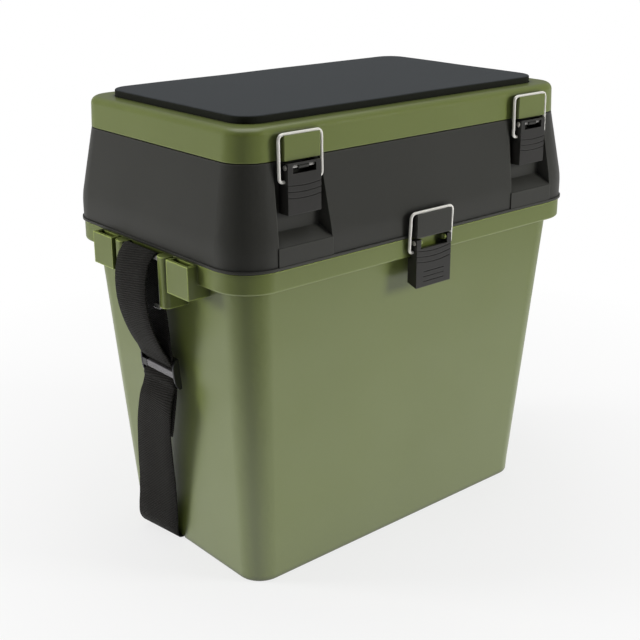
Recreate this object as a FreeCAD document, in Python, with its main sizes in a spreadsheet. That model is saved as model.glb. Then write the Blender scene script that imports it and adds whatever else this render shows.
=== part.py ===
# Fishing seat box: a tapered tub, a hinged tray box on top of it, a hinged lid with a seat pad,
# three lever latches with wire bails, two lift-out trays and a webbing strap that runs under the tub.
# Millimetres. +Z is up, z = 0 is the floor, X runs along the long side, the latches face -Y.
import FreeCAD, Part
import math
import os

import Sketcher

V = FreeCAD.Vector
Rotation = FreeCAD.Rotation

doc = FreeCAD.newDocument("seat_box")
sheet = doc.addObject("Spreadsheet::Sheet", "Dims")

DIMENSIONS = {
    # tub
    "foot_height": 2.5,
    "foot_width": 12.0,
    "strap_notch": 50.0,
    "base_inset_x": 28.6,
    "base_inset_y": 27.5,
    "base_corner": 21.0,
    "base_round": 2.5,
    "base_height": 14.5,
    "base_flare": 0.85,
    "wall_inset_x": 9.8,
    "wall_inset_y": 9.5,
    "wall_corner": 27.0,
    "tub_wall": 2.8,
    "tub_floor": 3.0,
    "band_height": 16.3,
    "band_top": 279.2,
    "band_half_x": 191.3,
    "band_half_y": 121.4,
    "band_corner": 33.0,
    "band_skirt": 3.0,
    "band_ledge": 3.2,
    "band_round": 1.6,
    # accessory sockets and strap posts on the short sides
    "side_out": 9.1,
    "side_top_drop": 0.6,
    "socket_centre_y": 53.6,
    "socket_width": 28.6,
    "socket_height": 26.6,
    "socket_wall": 2.6,
    "socket_floor": 2.5,
    "post_gap": 48.0,
    "post_width": 12.5,
    "post_height": 41.6,
    "post_round": 5.0,
    "post_root": 3.1,
    # strap bars
    "bar_wire": 3.6,
    "bar_inset": 3.0,
    "bar_drop": 3.6,
    "bar_half_width": 26.8,
    "bar_height": 40.5,
    "bar_bend": 4.0,
    "bar_end": 6.0,
    # tray box
    "seam": 0.8,
    "box_bend_up": 20.0,
    "box_bend_round": 70.0,
    "box_height": 78.4,
    "box_inset": 0.1,
    "box_corner": 31.4,
    "box_taper_x": 10.0,
    "box_taper_y": 10.3,
    "box_top_corner": 24.7,
    "box_wall": 2.8,
    "box_floor": 2.6,
    "lip_out": 1.2,
    "lip_height": 2.0,
    "box_plug_depth": 3.5,
    "plug_gap": 0.6,
    "plug_wall": 2.0,
    "rail_up": 33.7,
    "rail_height": 3.2,
    "rail_inset": 13.0,
    # recesses for the lid latches
    "latch_inset": 51.7,
    "recess_back_inset": 1.2,
    "recess_back_half": 22.0,
    "recess_front_half": 26.5,
    "recess_back_up": 25.5,
    "recess_front_up": 15.2,
    "panel_out": 0.8,
    # lid
    "lid_height": 24.7,
    "lid_draft": 1.0,
    "lid_round": 6.0,
    "lid_wall": 2.8,
    "lid_top_wall": 3.0,
    "lid_rib": 2.2,
    "lid_rib_depth": 7.0,
    "lid_rib_spacing": 88.0,
    # seat pad
    "pad_inset_x": 16.7,
    "pad_inset_y": 17.1,
    "pad_corner": 18.0,
    "pad_recess": 1.8,
    "pad_gap": 0.3,
    "pad_show": 6.1,
    "pad_round": 1.2,
    # lift-out trays
    "tray_inset_y": 7.5,
    "tray_inset_x": 5.7,
    "tray_inner_x": 2.5,
    "tray_height": 40.8,
    "tray_corner": 19.0,
    "tray_wall": 1.8,
    "tray_gap": 0.3,
    "tray_rim": 1.5,
    "tray_rim_height": 2.0,
    "divider_drop": 6.0,
    # latches: common sizes
    "fit": 0.05,
    "latch_pin": 2.5,
    "pin_head": 4.2,
    "pin_head_thick": 0.6,
    "side_play": 0.5,
    "groove_depth": 0.5,
    "groove_width": 0.8,
    "groove_radius": 100.0,
    "groove_pitch": 4.7,
    "grip_pitch": 4.2,
    # latches that hold the lid
    "lid_keeper_half": 16.9,
    "lid_keeper_out": 6.8,
    "lid_keeper_height": 17.55,
    "lid_lever_half": 15.8,
    "lid_lever_cheek": 4.7,
    "lid_lever_out": 9.2,
    "lid_lever_in": 0.4,
    "lid_lever_web": 2.8,
    "lid_lever_drop": 39.4,
    "lid_lever_rim": 0.9,
    "lid_rim_drop": 2.5,
    "lid_groove_drop": 18.5,
    "lid_window_drop": 8.8,
    "lid_pin_out": 6.3,
    "lid_pin_drop": 4.1,
    "lid_lug_half": 5.0,
    "lid_lug_radius": 2.15,
    "lid_lug_rise": 1.3,
    "lid_lever_top": 3.3,
    "lid_lever_back_rise": 4.4,
    "lid_lever_step": 4.0,
    "lid_bail_wire": 2.5,
    "lid_bail_half": 20.4,
    "lid_bail_pivot_out": 4.6,
    "lid_bail_pivot_drop": 14.8,
    "lid_bail_bar_out": 4.0,
    "lid_bail_bar_up": 19.9,
    "lid_bail_bend": 4.2,
    # latch that holds the tray box
    "tub_keeper_half": 19.8,
    "tub_keeper_out": 7.9,
    "tub_keeper_gap": 0.8,
    "tub_keeper_height": 19.55,
    "tub_lever_half": 20.0,
    "tub_lever_cheek": 4.8,
    "tub_lever_out": 7.9,
    "tub_lever_in": 2.2,
    "tub_lever_web": 2.7,
    "tub_lever_drop": 41.6,
    "tub_groove_drop": 12.2,
    "tub_lever_slant": 3.4,
    "tub_window_drop": 8.8,
    "tub_pin_out": 4.9,
    "tub_pin_drop": 3.6,
    "tub_lug_half": 14.9,
    "tub_lug_thick": 2.0,
    "tub_lug_radius": 2.4,
    "tub_lever_top": 2.7,
    "tub_lever_back_rise": 2.6,
    "tub_lever_step": 1.0,
    "tub_lever_clear": 1.1,
    "tub_bail_wire": 2.5,
    "tub_bail_half": 23.9,
    "tub_bail_pivot_out": 3.0,
    "tub_bail_pivot_drop": 11.6,
    "tub_bail_bar_out": 4.6,
    "tub_bail_bar_up": 21.1,
    "tub_bail_bend": 4.2,
    "bail_elbow": 3.0,
    "bail_end": 4.0,
    "keeper_lip": 1.1,
    "keeper_lip_height": 1.1,
    # rear hinges
    "hinge_inset": 81.3,
    "knuckle_radius": 4.8,
    "knuckle_half": 9.0,
    "knuckle_outer": 10.0,
    "knuckle_gap": 0.4,
    "hinge_out": 6.8,
    "hinge_pin": 4.0,
    "hinge_head": 6.4,
    # webbing and its adjusters
    "strap_width": 44.0,
    "strap_thick": 1.6,
    "strap_lift": 0.3,
    "strap_shift": 34.5,
    "strap_gap": 0.3,
    "bar_gap": 0.35,
    "glide_gap": 0.4,
    "glide_clear": 0.3,
    "glide_height": 27.0,
    "glide_rail": 3.5,
    "glide_side": 2.1,
    "glide_thick": 3.0,
    "glide_cheek_out": 4.9,
    "glide_cheek_bow": 2.6,
    "glide_bar": 6.0,
    "glide_bar_thick": 2.5,
    "glide_bar_out": 3.2,
    "glide_out": 1.7,
    "glide_lean": 0.1,
    "glide_z": 174.3,
    # how far a cutting tool or a joining web runs past the face it meets
    "overlap": 1.0,
}


class Size:
    """A length with its value and the sheet expression that gives it."""

    def __init__(self, value, text):
        self.value = float(value)
        self.text = text

    def join(self, other, sign, value, swap=False):
        left, right = self.text, as_size(other).text
        if swap:
            left, right = right, left
        return Size(value, f"({left} {sign} {right})")

    def __float__(self):
        return self.value

    def __add__(self, other):
        return self.join(other, "+", self.value + float(other))

    def __radd__(self, other):
        return self.join(other, "+", float(other) + self.value, swap=True)

    def __sub__(self, other):
        return self.join(other, "-", self.value - float(other))

    def __rsub__(self, other):
        return self.join(other, "-", float(other) - self.value, swap=True)

    def __mul__(self, other):
        return self.join(other, "*", self.value * float(other))

    def __rmul__(self, other):
        return self.join(other, "*", float(other) * self.value, swap=True)

    def __truediv__(self, other):
        return self.join(other, "/", self.value / float(other))

    def __neg__(self):
        return Size(-self.value, f"(0 - {self.text})")


def as_size(value):
    return value if isinstance(value, Size) else Size(value, f"{float(value):.6f}")


class Dims:
    """The driving dimensions, one attribute for each alias in the sheet."""


d = Dims()
for row, (alias, number) in enumerate(DIMENSIONS.items(), start=1):
    sheet.set(f"A{row}", alias)
    sheet.set(f"B{row}", str(number))
    sheet.setAlias(f"B{row}", alias)
    setattr(d, alias, Size(number, f"Dims.{alias}"))
doc.recompute()

# The adjusters are as wide as the strap needs
d.glide_width = d.strap_width + 2 * (d.glide_side + d.glide_clear)

# Places and levels that follow from the rim band and the tray box
d.side_top = d.band_top - d.side_top_drop
d.base_half_x = d.band_half_x - d.base_inset_x
d.base_half_y = d.band_half_y - d.base_inset_y
d.wall_half_x = d.band_half_x - d.wall_inset_x
d.wall_half_y = d.band_half_y - d.wall_inset_y
d.band_bottom = d.band_top - d.band_height
d.side_face_x = d.band_half_x + d.side_out
d.post_root_x = d.wall_half_x - d.post_root
d.socket_bottom = d.side_top - d.socket_height
d.post_bottom = d.side_top - d.post_height
d.bar_x = d.side_face_x - d.bar_inset
d.bar_z = d.band_top - d.bar_drop
d.box_half_x = d.band_half_x - d.box_inset
d.box_half_y = d.band_half_y - d.box_inset
d.box_top_half_x = d.box_half_x - d.box_taper_x
d.box_top_half_y = d.box_half_y - d.box_taper_y
d.box_bottom = d.band_top + d.seam
d.box_bend_z = d.box_bottom + d.box_bend_up
d.box_top = d.box_bottom + d.box_height
d.rail_top = d.box_bottom + d.rail_up
d.rail_inner_y = d.box_top_half_y - d.rail_inset
d.latch_x = d.box_top_half_x - d.latch_inset
d.hinge_x = d.band_half_x - d.hinge_inset
d.recess_back_y = d.box_top_half_y - d.recess_back_inset
d.recess_shelf_back = d.box_bottom + d.recess_back_up
d.recess_shelf_front = d.box_bottom + d.recess_front_up
d.pad_half_x = d.box_top_half_x - d.pad_inset_x
d.pad_half_y = d.box_top_half_y - d.pad_inset_y
d.tray_half_y = d.box_top_half_y - d.tray_inset_y
d.tray_outer_x = d.box_top_half_x - d.tray_inset_x
d.lid_lever_front = d.box_top_half_y + d.lid_lever_out
d.lid_lever_back = d.box_top_half_y - d.lid_lever_in
d.lid_pin_y = d.box_top_half_y + d.lid_pin_out
d.lid_bail_pivot_y = d.box_top_half_y + d.lid_bail_pivot_out
d.lid_bail_bar_y = d.box_top_half_y + d.lid_bail_bar_out
d.lid_lever_bottom = d.box_top - d.lid_lever_drop
d.lid_rim_bottom = d.box_top - d.lid_rim_drop
d.lid_groove_z = d.box_top - d.lid_groove_drop
d.lid_window_bottom = d.box_top - d.lid_window_drop
d.lid_pin_z = d.box_top - d.lid_pin_drop
d.lid_bail_pivot_z = d.box_top - d.lid_bail_pivot_drop
d.lid_bail_bar_z = d.box_top + d.lid_bail_bar_up
d.tub_keeper_front = d.band_half_y + d.tub_keeper_out
d.tub_lever_front = d.band_half_y + d.tub_lever_out
d.tub_lever_back = d.band_half_y - d.tub_lever_in
d.tub_pin_y = d.band_half_y + d.tub_pin_out
d.tub_bail_pivot_y = d.band_half_y + d.tub_bail_pivot_out
d.tub_bail_bar_y = d.band_half_y + d.tub_bail_bar_out
d.tub_keeper_bottom = d.band_top + d.tub_keeper_gap
d.tub_keeper_floor = d.band_top + d.tub_keeper_height
d.tub_lever_bottom = d.band_top - d.tub_lever_drop
d.tub_groove_z = d.band_top - d.tub_groove_drop
d.tub_window_bottom = d.band_top - d.tub_window_drop
d.tub_pin_z = d.band_top - d.tub_pin_drop
d.tub_bail_pivot_z = d.band_top - d.tub_bail_pivot_drop
d.tub_bail_bar_z = d.band_top + d.tub_bail_bar_up
d.glide_x = d.wall_half_x + d.glide_out


# Helpers that bind what they make to the sheet

def bind(item, prop, size):
    setattr(item, prop, float(size))
    item.setExpression(prop, as_size(size).text)


def place(item, x=0.0, y=0.0, z=0.0, turn=None):
    item.Placement = FreeCAD.Placement(V(float(x), float(y), float(z)), turn or Rotation())
    for axis, size in (("x", x), ("y", y), ("z", z)):
        item.setExpression(f"Placement.Base.{axis}", as_size(size).text)
    return item


def span_box(name, x, y, z):
    """A box from the lower to the upper value on each axis."""
    box = doc.addObject("Part::Box", name)
    for prop, (low, high) in (("Length", x), ("Width", y), ("Height", z)):
        bind(box, prop, as_size(high) - low)
    return place(box, x[0], y[0], z[0])


def rod(name, radius, length, x, y, z, axis="z"):
    """A cylinder that starts at x, y, z and runs along +X, +Y or +Z."""
    turns = {"x": Rotation(V(0, 1, 0), 90), "y": Rotation(V(1, 0, 0), -90), "z": Rotation()}
    cylinder = doc.addObject("Part::Cylinder", name)
    bind(cylinder, "Radius", radius)
    bind(cylinder, "Height", length)
    return place(cylinder, x, y, z, turns[axis])


def bend(name, bend_radius, wire_radius, x, z, start_angle):
    """A quarter turn of round wire in the XZ plane, anticlockwise from start_angle."""
    torus = doc.addObject("Part::Torus", name)
    bind(torus, "Radius1", bend_radius)
    bind(torus, "Radius2", wire_radius)
    torus.Angle3 = 90
    turn = Rotation(V(1, 0, 0), 90).multiply(Rotation(V(0, 0, 1), start_angle))
    return place(torus, x, 0.0, z, turn)


def join(name, shapes):
    fused = doc.addObject("Part::MultiFuse", name)
    fused.Shapes = shapes
    return fused


def cut(name, base, tool):
    result = doc.addObject("Part::Cut", name)
    result.Base = base
    result.Tool = tool
    return result


def plane_of(body, role):
    return next(item for item in body.Origin.OriginFeatures if item.Role == role)


def new_body(name):
    return doc.addObject("PartDesign::Body", name)


def new_sketch(body, name, role="XY_Plane", offset=0.0):
    sketch = body.newObject("Sketcher::SketchObject", name)
    sketch.AttachmentSupport = [(plane_of(body, role), "")]
    sketch.MapMode = "FlatFace"
    sketch.AttachmentOffset = FreeCAD.Placement(V(0, 0, float(offset)), Rotation())
    sketch.setExpression("AttachmentOffset.Base.z", as_size(offset).text)
    return sketch


def dimension(sketch, kind, places, size):
    index = sketch.addConstraint(Sketcher.Constraint(kind, *places, float(size)))
    sketch.setExpression(f"Constraints[{index}]", as_size(size).text)


def add_rounded(sketch, half_x, half_y, corner):
    """A rounded rectangle about the sketch origin."""
    first = sketch.GeometryCount
    hx, hy, r = float(half_x), float(half_y), float(corner)
    ends = (
        ((r - hx, -hy), (hx - r, -hy)),
        ((hx, r - hy), (hx, hy - r)),
        ((hx - r, hy), (r - hx, hy)),
        ((-hx, hy - r), (-hx, r - hy)),
    )
    centres = ((hx - r, r - hy), (hx - r, hy - r), (r - hx, hy - r), (r - hx, r - hy))
    for side in range(4):
        start, end = (V(*point, 0) for point in ends[side])
        sketch.addGeometry(Part.LineSegment(start, end), False)
        circle = Part.Circle(V(*centres[side], 0), V(0, 0, 1), r)
        angle = math.radians(270 + 90 * side)
        sketch.addGeometry(Part.ArcOfCircle(circle, angle, angle + math.pi / 2), False)
    for side in range(4):
        line, arc = first + 2 * side, first + 2 * side + 1
        following = first + (2 * side + 2) % 8
        sketch.addConstraint(Sketcher.Constraint("Tangent", line, 2, arc, 1))
        sketch.addConstraint(Sketcher.Constraint("Tangent", arc, 2, following, 1))
        kind = "Vertical" if side % 2 else "Horizontal"
        sketch.addConstraint(Sketcher.Constraint(kind, line))
    for arc in (3, 5, 7):
        sketch.addConstraint(Sketcher.Constraint("Equal", first + 1, first + arc))
    sketch.addConstraint(Sketcher.Constraint("Symmetric", first + 1, 3, first + 5, 3, -1, 1))
    dimension(sketch, "Radius", (first + 1,), corner)
    dimension(sketch, "DistanceX", (first + 6, 1, first + 2, 1), 2 * half_x)
    dimension(sketch, "DistanceY", (first, 1, first + 4, 1), 2 * half_y)


def add_outline(sketch, points):
    """A closed outline of straight sides, each corner dimensioned from the sketch origin."""
    first = sketch.GeometryCount
    corners = [V(float(a), float(b), 0) for a, b in points]
    count = len(corners)
    for index in range(count):
        sketch.addGeometry(Part.LineSegment(corners[index], corners[(index + 1) % count]), False)
    for index in range(count):
        following = first + (index + 1) % count
        sketch.addConstraint(Sketcher.Constraint("Coincident", first + index, 2, following, 1))
    for index, (a, b) in enumerate(points):
        dimension(sketch, "DistanceX", (-1, 1, first + index, 1), a)
        dimension(sketch, "DistanceY", (-1, 1, first + index, 1), b)


def rectangle(x, y):
    return [(x[0], y[0]), (x[1], y[0]), (x[1], y[1]), (x[0], y[1])]


def rounded_sketch(body, name, z, half_x, half_y, corner):
    sketch = new_sketch(body, name, offset=z)
    add_rounded(sketch, half_x, half_y, corner)
    return sketch


def pad(body, name, sketch, length, both_ways=False, flare=None):
    """A pad; flare is how far each side moves outwards over its length."""
    feature = body.newObject("PartDesign::Pad", name)
    feature.Profile = sketch
    bind(feature, "Length", length)
    if both_ways:
        feature.SideType = "Symmetric"
    if flare is not None:
        feature.setExpression("TaperAngle", f"atan({as_size(flare / length).text})")
    return checked_step(body, feature, grows=True)


def pocket(body, name, sketch, length, along_normal=False, both_ways=False):
    """A pocket cuts against the sketch normal unless along_normal is set."""
    feature = body.newObject("PartDesign::Pocket", name)
    feature.Profile = sketch
    bind(feature, "Length", length)
    feature.Reversed = along_normal
    if both_ways:
        feature.SideType = "Symmetric"
    return checked_step(body, feature, grows=False)


def loft(body, name, low, high, cutting=False):
    kind = "PartDesign::SubtractiveLoft" if cutting else "PartDesign::AdditiveLoft"
    feature = body.newObject(kind, name)
    feature.Profile = low
    feature.Sections = [high]
    feature.Ruled = True
    return checked_step(body, feature, grows=not cutting)


volumes = {}


def checked_step(body, feature, grows):
    """Recomputes and makes sure that the step added or removed material."""
    doc.recompute()
    before = volumes.get(body.Name, 0.0)
    after = feature.Shape.Volume
    if (after > before) != grows or not feature.Shape.isValid():
        raise RuntimeError(f"{feature.Name} changed the volume from {before} to {after}")
    volumes[body.Name] = after
    return feature


def edges_where(shape, test):
    """Names of the edges whose end points and middle all pass the test."""
    names = []
    for index, edge in enumerate(shape.Edges, start=1):
        middle = edge.valueAt((edge.FirstParameter + edge.LastParameter) / 2)
        points = [vertex.Point for vertex in edge.Vertexes] + [middle]
        if all(test(point) for point in points):
            names.append(f"Edge{index}")
    return names


def round_edges(body, name, base, radius, test):
    feature = body.newObject("PartDesign::Fillet", name)
    feature.Base = (base, edges_where(base.Shape, test))
    bind(feature, "Radius", radius)
    return checked_step(body, feature, grows=False)


def near(a, b):
    return abs(a - float(b)) < 0.01


def pin(name, radius, head_radius, head, length, x, y, z):
    """A pin along X with a flat head at each end, centred on x."""
    shank = rod(name + "_shank", radius, length, x - length / 2, y, z, "x")
    left = rod(name + "_head_a", head_radius, head, x - length / 2 - head, y, z, "x")
    right = rod(name + "_head_b", head_radius, head, x + length / 2, y, z, "x")
    return join(name, [left, shank, right])


def wire_loop(name, wire, half_width, height, corner, elbow, end):
    """A bent wire in its own XZ plane: a top bar, two legs and two ends turned inwards at z = 0."""
    radius = as_size(wire) / 2
    bar_half = as_size(half_width) - corner
    elbow_x = as_size(half_width) - elbow
    leg = as_size(height) - corner - elbow
    pieces = [
        rod(name + "_bar", radius, 2 * bar_half, -bar_half, 0.0, height, "x"),
        bend(name + "_corner_a", corner, radius, bar_half, as_size(height) - corner, 0),
        bend(name + "_corner_b", corner, radius, -bar_half, as_size(height) - corner, 90),
        bend(name + "_elbow_a", elbow, radius, -elbow_x, elbow, 180),
        bend(name + "_elbow_b", elbow, radius, elbow_x, elbow, 270),
        rod(name + "_leg_a", radius, leg, -as_size(half_width), 0.0, elbow),
        rod(name + "_leg_b", radius, leg, half_width, 0.0, elbow),
        rod(name + "_end_a", radius, end, -elbow_x, 0.0, 0.0, "x"),
        rod(name + "_end_b", radius, end, elbow_x - end, 0.0, 0.0, "x"),
    ]
    return join(name, pieces)


SIDES = (("left", -1), ("right", 1))
parts = []


def sub_part(item, name):
    item.Label = name
    parts.append(item)
    return item


# Levels and places that several pieces share
lid_bottom = d.box_top + d.seam
lid_top = lid_bottom + d.lid_height
pin_radius = d.latch_pin / 2
hole_radius = pin_radius + d.fit
hinge_hole = d.hinge_pin / 2 + d.fit
tub_hinge_y = d.band_half_y + d.hinge_out
tub_hinge_z = d.band_top + d.seam / 2
lid_hinge_y = d.box_top_half_y + d.hinge_out
lid_hinge_z = d.box_top + d.seam / 2


def knuckles(name, x, y, z, wall_y, above, outer):
    """Hinge knuckles about an X axis, each with a web back to its wall: the middle one or the outer two."""
    low, high = (z + d.seam, z + d.knuckle_radius) if above else (z - d.knuckle_radius, z - d.seam)
    if outer:
        inner_end = d.knuckle_half + d.knuckle_gap
        spans = [
            (x - inner_end - d.knuckle_outer, x - inner_end),
            (x + inner_end, x + inner_end + d.knuckle_outer),
        ]
    else:
        spans = [(x - d.knuckle_half, x + d.knuckle_half)]
    pieces = []
    for index, (start, end) in enumerate(spans):
        pieces.append(rod(f"{name}_barrel_{index}", d.knuckle_radius, end - start, start, y, z, "x"))
        pieces.append(span_box(f"{name}_web_{index}", (start, end), (wall_y, y), (low, high)))
    return pieces


def hinge_bores(name, y, z):
    reach = d.knuckle_half + d.knuckle_gap + d.knuckle_outer + d.overlap
    return [
        rod(f"{name}_{side}", hinge_hole, 2 * reach, sign * d.hinge_x - reach, y, z, "x")
        for side, sign in SIDES
    ]


def strap_bar_wire(name, radius_gain, side, sign):
    """The wire staple that carries the strap, or its channel when radius_gain is set."""
    wire = wire_loop(
        name,
        d.bar_wire + 2 * radius_gain,
        d.bar_half_width,
        d.bar_height,
        d.bar_bend,
        d.bar_bend,
        d.bar_end,
    )
    place(wire, sign * d.bar_x, 0.0, d.bar_z - d.bar_height, Rotation(V(0, 0, 1), 90))
    return wire


# Tub: tapered wall, rim band with a hollow skirt, foot runners, sockets and strap posts

def make_tub():
    body = new_body("tub_shell")
    base = rounded_sketch(body, "base", 0.0, d.base_half_x, d.base_half_y, d.base_corner)
    step = pad(body, "base_block", base, d.base_height, flare=d.base_flare)
    step = round_edges(body, "base_edge", step, d.base_round, lambda point: near(point.z, 0.0))
    wall_low = d.base_height
    low = rounded_sketch(
        body,
        "wall_low",
        wall_low,
        d.base_half_x + d.base_flare,
        d.base_half_y + d.base_flare,
        d.base_corner + d.base_flare,
    )
    high = rounded_sketch(body, "wall_high", d.band_bottom, d.wall_half_x, d.wall_half_y, d.wall_corner)
    step = loft(body, "walls", low, high)
    band = rounded_sketch(body, "band", d.band_bottom, d.band_half_x, d.band_half_y, d.band_corner)
    step = pad(body, "band_block", band, d.band_top - d.band_bottom)
    step = round_edges(
        body,
        "band_edge",
        step,
        d.band_round,
        lambda point: near(point.z, d.band_bottom)
        and (abs(point.x) > float(d.wall_half_x) + 0.01 or abs(point.y) > float(d.wall_half_y) + 0.01),
    )
    groove = new_sketch(body, "groove", offset=d.band_bottom)
    add_rounded(
        groove,
        d.band_half_x - d.band_skirt,
        d.band_half_y - d.band_skirt,
        d.band_corner - d.band_skirt,
    )
    add_rounded(groove, d.wall_half_x, d.wall_half_y, d.wall_corner)
    step = pocket(
        body, "skirt_groove", groove, d.band_top - d.band_bottom - d.band_ledge, along_normal=True
    )

    sockets = new_sketch(body, "sockets", offset=d.socket_bottom)
    posts = new_sketch(body, "posts", offset=d.post_bottom)
    wells = new_sketch(body, "wells", offset=d.side_top)
    half_socket = d.socket_width / 2
    for _, x_sign in SIDES:
        for _, y_sign in SIDES:
            middle = y_sign * d.socket_centre_y
            span = (middle - half_socket, middle + half_socket)
            well = (middle - half_socket + d.socket_wall, middle + half_socket - d.socket_wall)
            add_outline(sockets, rectangle((x_sign * d.post_root_x, x_sign * d.side_face_x), span))
            well_x = (x_sign * (d.band_half_x + d.overlap), x_sign * (d.side_face_x - d.socket_wall))
            add_outline(wells, rectangle(well_x, well))
            inner = y_sign * d.post_gap / 2
            post = (inner, inner + y_sign * d.post_width)
            add_outline(posts, rectangle((x_sign * d.post_root_x, x_sign * d.side_face_x), post))
    step = pad(body, "socket_blocks", sockets, d.side_top - d.socket_bottom)
    step = pad(body, "post_blocks", posts, d.side_top - d.post_bottom)
    outer_y = d.post_gap / 2 + d.post_width
    step = round_edges(
        body,
        "post_edges",
        step,
        d.post_round,
        lambda point: near(abs(point.x), d.side_face_x)
        and (near(abs(point.y), outer_y) or near(abs(point.y), d.post_gap / 2)),
    )
    step = pocket(body, "socket_wells", wells, d.side_top - d.socket_bottom - d.socket_floor)

    cavity_low = rounded_sketch(
        body,
        "cavity_low",
        d.foot_height + d.tub_floor,
        d.base_half_x - d.tub_wall,
        d.base_half_y - d.tub_wall,
        d.base_corner - d.tub_wall,
    )
    cavity_high = rounded_sketch(
        body,
        "cavity_high",
        d.band_top,
        d.wall_half_x - d.tub_wall,
        d.wall_half_y - d.tub_wall,
        d.wall_corner - d.tub_wall,
    )
    loft(body, "cavity", cavity_low, cavity_high, cutting=True)

    hollow = rounded_sketch(
        body,
        "foot_hollow",
        0.0,
        d.base_half_x - d.foot_width,
        d.base_half_y - d.foot_width,
        d.base_corner - d.foot_width,
    )
    pocket(body, "foot_ring", hollow, d.foot_height, along_normal=True)
    notch = new_sketch(body, "strap_notch", offset=0.0)
    half_notch = d.strap_notch / 2
    notch_x = d.base_half_x + d.overlap
    span = (d.strap_shift - half_notch, d.strap_shift + half_notch)
    add_outline(notch, rectangle((-notch_x, notch_x), span))
    pocket(body, "strap_notches", notch, d.foot_height, along_normal=True)

    lug_inner = d.tub_lug_half - d.tub_lug_thick
    pieces = [body]
    for side, sign in SIDES:
        low_x = d.tub_lug_half * sign if sign < 0 else lug_inner
        span = (low_x, low_x + d.tub_lug_thick)
        pieces.append(
            rod(f"tub_lug_eye_{side}", d.tub_lug_radius, d.tub_lug_thick, low_x,
                -d.tub_pin_y, d.tub_pin_z, "x")
        )
        pieces.append(
            span_box(
                f"tub_lug_{side}",
                span,
                (-d.tub_pin_y, -d.band_half_y + d.overlap),
                (d.tub_pin_z - d.tub_lug_radius, d.tub_pin_z + d.tub_lug_radius),
            )
        )
    for side, sign in SIDES:
        pieces += knuckles(
            f"tub_knuckle_{side}",
            sign * d.hinge_x,
            tub_hinge_y,
            tub_hinge_z,
            d.band_half_y - d.overlap,
            above=False,
            outer=True,
        )
    joined = join("tub_joined", pieces)
    tools = hinge_bores("tub_hinge_bore", tub_hinge_y, tub_hinge_z)
    tools += [strap_bar_wire(f"bar_channel_{side}", d.fit, side, sign) for side, sign in SIDES]
    tools.append(
        rod("tub_pin_bore", hole_radius, 4 * d.tub_lug_half, -2 * d.tub_lug_half,
            -d.tub_pin_y, d.tub_pin_z, "x")
    )
    sub_part(cut("tub", joined, join("tub_bores", tools)), "tub")


# Tray box: the middle section, with latch recesses in front and rails for the trays inside

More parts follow.
